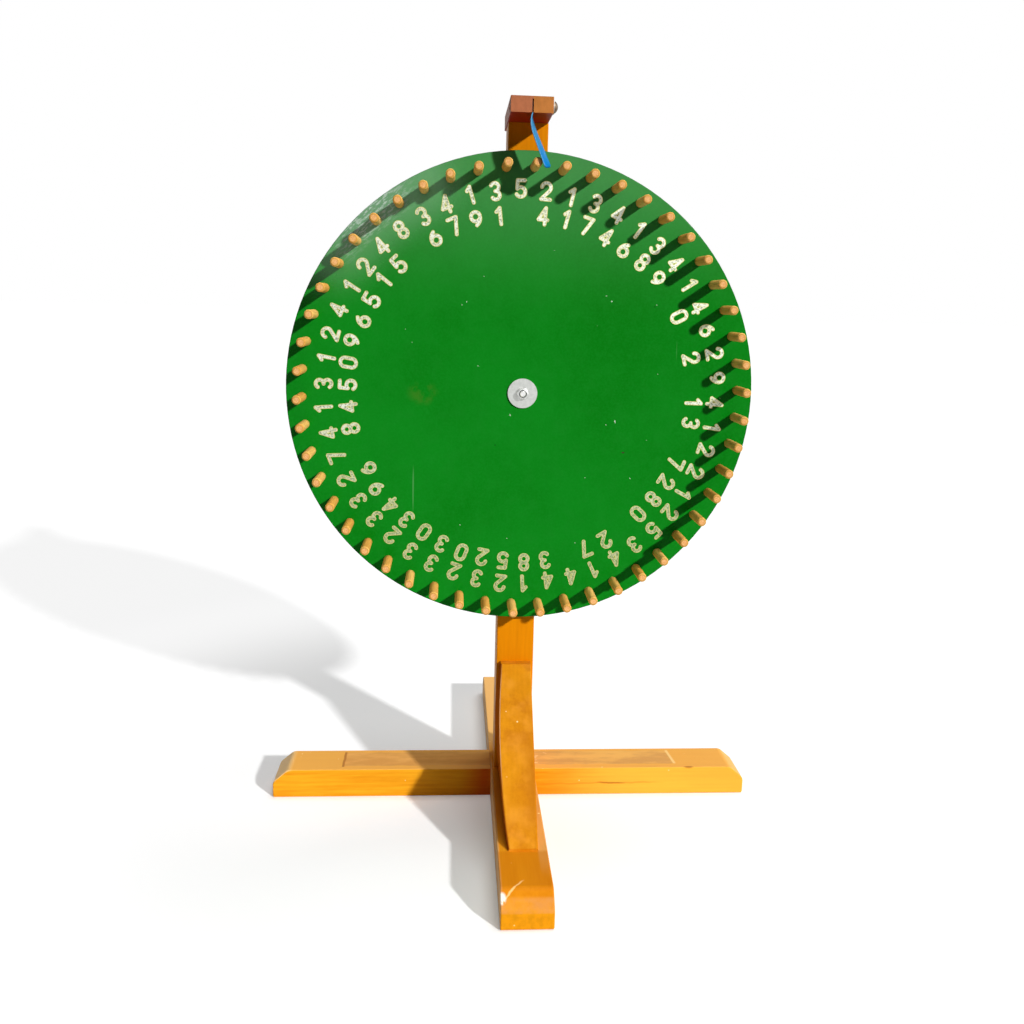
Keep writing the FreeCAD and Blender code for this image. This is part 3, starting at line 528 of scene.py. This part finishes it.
def green_enamel():
    """Gloss paint on board: patchy, with fine scratches, scraped and veiled with painted glare by the
    rim, and a lighter plain green behind as painted light.
    """
    surface = Surface("green_enamel", roughness=0.3, specular=0.03)
    broad = surface.noise(6.5, rough=0.55)
    fine = surface.noise(55.0, detail=5.0, rough=0.65, shift=(0.3, 0.0, 0.2))
    surface.colour = surface.mix(surface.rise(broad, 0.3, 0.7), linear(2, 116, 10), linear(8, 128, 22))
    surface.cover(linear(26, 128, 36), surface.rise(fine, 0.42, 0.68), 0.25)
    grain = surface.rise(surface.noise(340.0, rough=0.7, shift=(0.7, 0.0, 0.1)), 0.35, 0.70)
    surface.cover(linear(20, 138, 36), grain, 0.35)
    height = surface.rise(surface.place(Z), 0.60, 0.87, 0.0, 0.42)
    surface.cover(linear(150, 186, 158), height, height)
    far, turn = from_axle(surface)
    upper_left = surface.band(turn, -1.25, -0.85, -0.50, -0.20)
    rim_wear_and_glare(surface, far, upper_left)
    stain = surface.near((-0.127, -0.039, 0.560), 0.013, 0.006, stretch=(0.8, 1.0, 1.0))
    surface.cover(linear(70, 120, 30), stain, surface.rise(fine, 0.4, 0.6), 0.5)
    flat = (1, 0, 1)
    surface.flecks(linear(150, 190, 150), scale=85.0, size=0.055, share=0.05, stretch=flat)
    moved = (0.4, 0.0, 0.3)
    surface.flecks(linear(10, 78, 22), scale=60.0, size=0.07, share=0.04, stretch=flat, shift=moved)
    upright = surface.noise(75.0, (1.0, 1.0, 0.05), detail=2.0, rough=0.4, shift=(0.2, 0.0, 0.8))
    surface.cover(linear(110, 170, 110), surface.rise(upright, 0.735, 0.76), 0.35)
    facing = surface.normal(Y)
    edge = surface.fall(surface.math("ABSOLUTE", facing), 0.8, 0.97)
    surface.cover(linear(16, 84, 34), edge, surface.rise(fine, 0.2, 0.6, 0.5, 0.9))
    # Painted light: the back is a lighter green than the front, so that it reads in the weak fill
    # light.
    plain = surface.mix(fine, linear(24, 122, 44), linear(40, 144, 60))
    surface.cover(plain, surface.rise(facing, 0.8, 0.95))
    front = surface.fall(facing, -0.95, -0.8)
    glare = surface.times(upper_left, surface.rise(far, 0.21, 0.285), front)
    surface.set("Specular IOR Level", surface.rise(glare, 0.0, 1.0, 0.03, 0.9))
    roughness = surface.plus(surface.times(fine, 0.3), surface.times(glare, 0.3))
    surface.set("Roughness", roughness)
    surface.bump(surface.plus(broad, surface.times(fine, 0.12)), 0.0012, 0.12)
    return surface.finish()


def foil_border():
    surface = Surface("foil_border", roughness=0.42, specular=0.4, metallic=0.5)
    speck = surface.rise(surface.noise(800.0, rough=0.6), 0.35, 0.65)
    surface.colour = surface.mix(speck, linear(190, 184, 104), linear(222, 216, 146))
    return surface.finish()


def foil_face():
    """The middle of a digit: cream foil rubbed to a speckled grey, darker and olive low on the wheel as
    a painted reflection of the ground.
    """
    surface = Surface("foil_face", roughness=0.45, specular=0.35, metallic=0.6)
    speck = surface.noise(520.0, detail=4.0, rough=0.7)
    wear = surface.rise(surface.noise(60.0, detail=2.0, shift=(0.2, 0.0, 0.5)), 0.35, 0.65)
    pale = surface.mix(wear, linear(226, 230, 214), linear(212, 212, 180))
    surface.colour = surface.mix(surface.rise(speck, 0.48, 0.62), pale, linear(134, 146, 116))
    # Painted reflection: the foil is made darker low on the wheel, where it faces the ground.
    dull = surface.mix(surface.rise(speck, 0.40, 0.58), linear(178, 184, 122), linear(112, 138, 74))
    surface.cover(dull, surface.fall(surface.place(Z), 0.36, 0.60), 0.8)
    return surface.finish()


def zinc(name, bright, dull, roughness):
    """Zinc-plated steel, clouded where the plating has dulled."""
    surface = Surface(name, roughness, specular=0.5, metallic=1.0)
    cloud = surface.noise(170.0, detail=4.0, rough=0.65)
    speck = surface.noise(900.0, detail=2.0)
    surface.colour = surface.mix(surface.rise(cloud, 0.35, 0.65), bright, dull)
    surface.cover(dull, surface.rise(speck, 0.58, 0.7), 0.5)
    surface.set("Roughness", surface.plus(roughness - 0.08, surface.times(cloud, 0.2)))
    surface.bump(speck, 0.00008, 0.3)
    return surface.finish()


def blue_plastic():
    """Smooth plastic, scuffed, paler towards the head as painted light, with a painted highlight on the
    strip's narrow edges.
    """
    surface = Surface("blue_plastic", roughness=0.5, specular=0.03)
    # Painted light: paler towards the head.
    height = surface.rise(surface.place(Z), 0.838, 0.885)
    surface.colour = surface.mix(height, linear(0, 116, 184), linear(46, 132, 184))
    # Painted highlight: paler on the strip's narrow edges.
    edge = surface.rise(surface.math("ABSOLUTE", surface.normal(Y)), 0.6, 0.9)
    surface.cover(linear(130, 184, 220), edge, 0.6)
    scuff = surface.noise(260.0, (1, 1, 0.12), rough=0.6)
    surface.cover(linear(110, 176, 226), surface.rise(scuff, 0.52, 0.72), 0.3)
    surface.bump(scuff, 0.0001, 0.25)
    return surface.finish()


def dark_plastic():
    surface = Surface("nut_insert_plastic", roughness=0.6, specular=0.1)
    surface.colour = surface.mix(surface.noise(900.0), linear(20, 20, 22), linear(44, 44, 48))
    return surface.finish()


def bush_brass():
    surface = Surface("bush_brass", roughness=0.3, specular=0.5, metallic=1.0)
    surface.colour = surface.mix(surface.noise(300.0), linear(214, 172, 92), linear(160, 120, 60))
    return surface.finish()


def bare_board(name, pale, dark):
    """What shows where the enamel has come off."""
    surface = Surface(name, roughness=0.6, specular=0.2)
    surface.colour = surface.mix(surface.rise(surface.noise(900.0), 0.35, 0.65), pale, dark)
    return surface.finish()


def paint(material, *names):
    for name in names:
        node = nodes[name]
        if not node.material_slots:
            node.data.materials.append(material)
        for slot in node.material_slots:
            slot.material = material


def new_piece(name, mesh, materials, body=None):
    piece = bpy.data.objects.new(name, mesh)
    bpy.context.scene.collection.objects.link(piece)
    for material in materials:
        mesh.materials.append(material)
    if body:
        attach(piece, body)
    return piece


def foil_digits(name, node, border, face):
    """The digits of one ring, each with a gold border round a cream middle."""
    mesh = nodes[node].data.copy()
    mesh.materials.clear()
    shape = bmesh.new()
    shape.from_mesh(mesh)
    bmesh.ops.remove_doubles(shape, verts=shape.verts, dist=1e-6)
    shape.normal_update()
    front = [flat for flat in shape.faces if flat.normal.y < -0.9]
    for flat in shape.faces:
        flat.material_index = 0
        flat.smooth = False
    settings = {"depth": 0.0, "use_boundary": True, "use_even_offset": True}
    bmesh.ops.inset_region(shape, faces=front, thickness=DIGIT_BORDER, **settings)
    for flat in front:
        flat.material_index = 1
    shape.to_mesh(mesh)
    shape.free()
    piece = new_piece(name, mesh, [border, face], "wheel")
    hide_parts(node)


def strip_frame(distance):
    """The strip's middle and its directions across and through, at a distance below the head."""
    turned = min(max(distance / STRIP_BEND_RADIUS, 0.0), STRIP_LEAN)
    bent_length = STRIP_BEND_RADIUS * STRIP_LEAN
    straight = distance if distance < 0 else max(distance - bent_length, 0.0)
    x = STRIP_BEND_RADIUS * (1 - math.cos(turned)) + straight * math.sin(turned)
    drop = STRIP_BEND_RADIUS * math.sin(turned) + straight * math.cos(turned)
    run = Vector((math.sin(turned), 0.0, -math.cos(turned)))
    share = max(distance / STRIP_FREE_LENGTH, 0.0)
    first_twist = STRIP_FIRST_TWIST * (1 - math.exp(-STRIP_TWIST_RATE * share))
    twist = math.radians(first_twist + STRIP_LATER_TWIST * share)
    flat = run.cross(Vector((0, 1, 0))).normalized()
    across = Vector((0, 1, 0)) * math.cos(twist) + flat * math.sin(twist)
    through = run.cross(across).normalized()
    return STRIP_TOP + Vector((x, 0.0, -drop)), across, through


def strip_outline():
    """The strip's cross section with round edges: how far each point lies across and through."""
    rounding = STRIP_THICKNESS / 2
    half_width = STRIP_WIDTH / 2 - rounding
    outline = []
    for side in (1, -1):
        for step in range(STRIP_EDGE_STEPS + 1):
            angle = math.pi * (step / STRIP_EDGE_STEPS - 0.5)
            across = half_width + rounding * math.cos(angle)
            outline.append((side * across, side * rounding * math.sin(angle)))
    return outline


def strip_row(shape, outline, distance):
    """The cross section at a distance below the head, narrower at the tip's corners and in the slot."""
    middle, across, through = strip_frame(distance)
    past_corner = max(STRIP_CORNER - (STRIP_FREE_LENGTH - distance), 0.0)
    narrow = STRIP_CORNER - math.sqrt(max(STRIP_CORNER**2 - past_corner**2, 0.0))
    inset = STRIP_INSET * min(max(-distance / STRIP_INSET_RUN, 0.0), 1.0)
    share = 1 - narrow * 2 / STRIP_WIDTH - inset * 2 / STRIP_WIDTH
    middle = middle + across * inset
    return [shape.verts.new(middle + across * (u * share) + through * v) for u, v in outline]


def pointer_strip(material):
    """The flexible strip, with round edges, and corners rounded at the tip."""
    outline = strip_outline()
    shape = bmesh.new()
    whole_length = STRIP_GRIP + STRIP_FREE_LENGTH
    rows = []
    for station in range(STRIP_STATIONS + 1):
        distance = -STRIP_GRIP + whole_length * station / STRIP_STATIONS
        rows.append(strip_row(shape, outline, distance))
    for first, second in zip(rows, rows[1:]):
        for step in range(len(outline)):
            after = (step + 1) % len(outline)
            shape.faces.new((first[step], first[after], second[after], second[step]))
    shape.faces.new(rows[0])
    shape.faces.new(list(reversed(rows[-1])))
    bmesh.ops.recalc_face_normals(shape, faces=shape.faces)
    for flat in shape.faces:
        flat.smooth = len(flat.verts) == 4
    mesh = bpy.data.meshes.new("clicker_strip")
    shape.to_mesh(mesh)
    shape.free()
    piece = new_piece("clicker_strip", mesh, [material])
    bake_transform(piece)
    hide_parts("pointer_strip")


# Chips in the enamel that show in the picture, and a small hole: x, z, length and tilt in degrees
BOARD_CHIPS = [
    (-0.0734, 0.6761, 0.0030, 70), (-0.0790, 0.6720, 0.0022, 20), (0.1041, 0.6878, 0.0030, -10),
    (0.1108, 0.6809, 0.0040, -40), (0.1689, 0.6782, 0.0024, 30), (-0.0573, 0.5957, 0.0034, 10),
    (-0.0153, 0.5337, 0.0036, 50), (0.1217, 0.5274, 0.0050, 80), (0.1101, 0.5229, 0.0026, 10),
    (0.1448, 0.4528, 0.0032, 65), (0.0852, 0.4529, 0.0022, 0), (-0.0775, 0.3876, 0.0028, 35),
    (-0.0158, 0.3702, 0.0026, 5), (-0.0520, 0.7080, 0.0020, 40), (0.0360, 0.7420, 0.0020, 15),
    (0.0750, 0.3650, 0.0022, 60), (-0.1500, 0.6400, 0.0018, 0), (0.1750, 0.5900, 0.0020, 75),
]
BOARD_HOLE = [(0.1336, 0.4868, 0.0052, 0)]
CHIP_CORNERS = 9


def board_chips(chips, name, material, lift):
    """Small flakes missing from the enamel, each a ragged lens shape flat on the board."""
    shape = bmesh.new()
    for index, (x, z, length, tilt) in enumerate(chips):
        turn = Matrix.Rotation(math.radians(tilt), 3, "Y")
        middle = Vector((x, BOARD_FRONT - lift, z))
        corners = []
        for step in range(CHIP_CORNERS):
            angle = 2 * math.pi * step / CHIP_CORNERS
            ragged = 0.75 + 0.25 * math.sin(7.3 * step + 2.1 * index)
            lens = Vector((math.cos(angle) * length / 2, 0.0, math.sin(angle) * length / 5))
            corners.append(shape.verts.new(turn @ (lens * ragged) + middle))
        shape.faces.new(corners)
    mesh = bpy.data.meshes.new(name)
    shape.to_mesh(mesh)
    shape.free()
    new_piece(name, mesh, [material], "wheel")


def dress_stand():
    paint(cross_bar_wood(), "cross_bar")
    paint(foot_bar_wood(), "foot_bar")
    paint(post_wood(), "post")
    paint(brace_wood(), "front_brace")
    left = (linear(150, 80, 40), linear(96, 42, 20), linear(184, 112, 76))
    right = (linear(166, 92, 40), linear(104, 50, 20), linear(196, 124, 62))
    paint(head_wood("left_cheek_varnish", *left), "left_head_cheek")
    paint(head_wood("right_cheek_varnish", *right), "right_head_cheek")


def dress_hardware():
    plate = zinc("zinc_plate", linear(192, 194, 190), linear(176, 178, 174), 0.42)
    paint(plate, "front_washer", "spacer_washer", "rear_washer")
    paint(plate, "coach_washer", "clamp_washer", "clamp_nut_washer")
    steel = zinc("plated_hardware", linear(232, 232, 230), linear(196, 196, 194), 0.34)
    paint(steel, "axle_bolt", "lock_nut")
    tarnished = zinc("tarnished_hardware", linear(150, 132, 112), linear(96, 78, 62), 0.45)
    paint(tarnished, "clamp_nut", "clamp_bolt", "coach_screw", "head_screws")
    paint(dark_plastic(), "lock_nut_ring")
    paint(bush_brass(), "hub_bush")


def dress_wheel():
    paint(peg_wood(), "pegs")
    paint(green_enamel(), "wheel_board")
    border, face = foil_border(), foil_face()
    foil_digits("outer_foil_digits", "outer_digits", border, face)
    foil_digits("inner_foil_digits", "inner_digits", border, face)


def wear_board():
    flakes = bare_board("bare_flakes", linear(214, 228, 206), linear(150, 190, 150))
    board_chips(BOARD_CHIPS, "board_chips", flakes, lift=0.00004)
    # The hole is a flat dark sheet on the board: its darkness is painted shade.
    hole = bare_board("hole_painted_shade", linear(26, 18, 12), linear(60, 30, 16))
    board_chips(BOARD_HOLE, "board_hole", hole, lift=0.00006)


def lamp(name, travel, strength, angle):
    light = bpy.data.lights.new(name, "SUN")
    light.energy = strength
    light.angle = math.radians(angle)
    held = bpy.data.objects.new(name, light)
    held.rotation_euler = travel.to_track_quat("-Z", "Y").to_euler()
    bpy.context.scene.collection.objects.link(held)


# The rays besides the camera's own that see the white background
REFLECTED_RAYS = ("Is Glossy Ray", "Is Transmission Ray")


def white_world():
    """Plain fill light, with pure white behind the part for the camera and for reflections."""
    world = bpy.data.worlds.new("studio")
    world.use_nodes = True
    tree = world.node_tree
    background = tree.nodes["Background"]
    background.inputs["Color"].default_value = grey(1.0)
    path = tree.nodes.new("ShaderNodeLightPath")
    seen = path.outputs["Is Camera Ray"]
    for name in REFLECTED_RAYS:
        either = tree.nodes.new("ShaderNodeMath")
        either.operation = "MAXIMUM"
        tree.links.new(seen, either.inputs[0])
        tree.links.new(path.outputs[name], either.inputs[1])
        seen = either.outputs[0]
    strength = tree.nodes.new("ShaderNodeMapRange")
    strength.inputs["To Min"].default_value = FILL_STRENGTH
    strength.inputs["To Max"].default_value = 1.0
    tree.links.new(seen, strength.inputs["Value"])
    tree.links.new(strength.outputs[0], background.inputs["Strength"])
    bpy.context.scene.world = world


def floor():
    """A plain pale floor that keeps the part's shadow and fades into the white behind it."""
    mesh = bpy.data.meshes.new("floor")
    corners = [Vector((x, y, 0)) * FLOOR_REACH for x, y in ((-1, -1), (1, -1), (1, 1), (-1, 1))]
    mesh.from_pydata(corners, [], [(0, 1, 2, 3)])
    surface = Surface("pale_floor", roughness=0.9, specular=0.0)
    path = surface.node("ShaderNodeLightPath", {})
    seen = path.outputs["Is Camera Ray"]
    for name in REFLECTED_RAYS:
        seen = surface.math("MAXIMUM", seen, path.outputs[name])
    away = surface.rise(surface.length(surface.position), FADE_START, FADE_END)
    bounced = surface.mix(away, grey(0.8), grey(0.2))
    shown = surface.mix(away, grey(0.9), grey(0.35))
    surface.colour = surface.mix(seen, bounced, shown)
    surface.set("Emission Color", grey(1.0))
    glow = surface.rise(away, 0.0, 1.0, 0.16, 0.72)
    surface.set("Emission Strength", surface.times(seen, glow))
    mesh.materials.append(surface.finish())
    plane = bpy.data.objects.new("floor", mesh)
    bpy.context.scene.collection.objects.link(plane)


def camera():
    """The camera of the picture, turned from straight ahead by its yaw, pitch and roll."""
    reach = math.cos(PITCH)
    ahead = Vector((math.sin(YAW) * reach, math.cos(YAW) * reach, -math.sin(PITCH)))
    level = Vector((math.cos(YAW), -math.sin(YAW), 0.0))
    upright = level.cross(ahead)
    right = level * math.cos(ROLL) + upright * math.sin(ROLL)
    up = upright * math.cos(ROLL) - level * math.sin(ROLL)
    lens = bpy.data.cameras.new("picture_camera")
    lens.sensor_fit = "HORIZONTAL"
    lens.sensor_width = SENSOR_WIDTH
    lens.lens = FOCAL_PIXELS * SENSOR_WIDTH / IMAGE_SIDE
    lens.shift_x = (IMAGE_SIDE / 2 - AXIS_PIXEL[0]) / IMAGE_SIDE
    lens.shift_y = (AXIS_PIXEL[1] - IMAGE_SIDE / 2) / IMAGE_SIDE
    lens.clip_end = FARTHEST_SEEN
    eye = bpy.data.objects.new("picture_camera", lens)
    turn = Matrix((right, up, -ahead)).transposed().to_4x4()
    eye.matrix_world = Matrix.Translation(EYE) @ turn
    bpy.context.scene.collection.objects.link(eye)
    bpy.context.scene.camera = eye


dress_stand()
dress_hardware()
dress_wheel()
pointer_strip(blue_plastic())
wear_board()
lamp("key_light", KEY_TRAVEL, KEY_STRENGTH, KEY_ANGLE)
lamp("top_light", TOP_TRAVEL, TOP_STRENGTH, TOP_ANGLE)
white_world()
floor()
camera()
bpy.context.scene.view_settings.view_transform = "Standard"
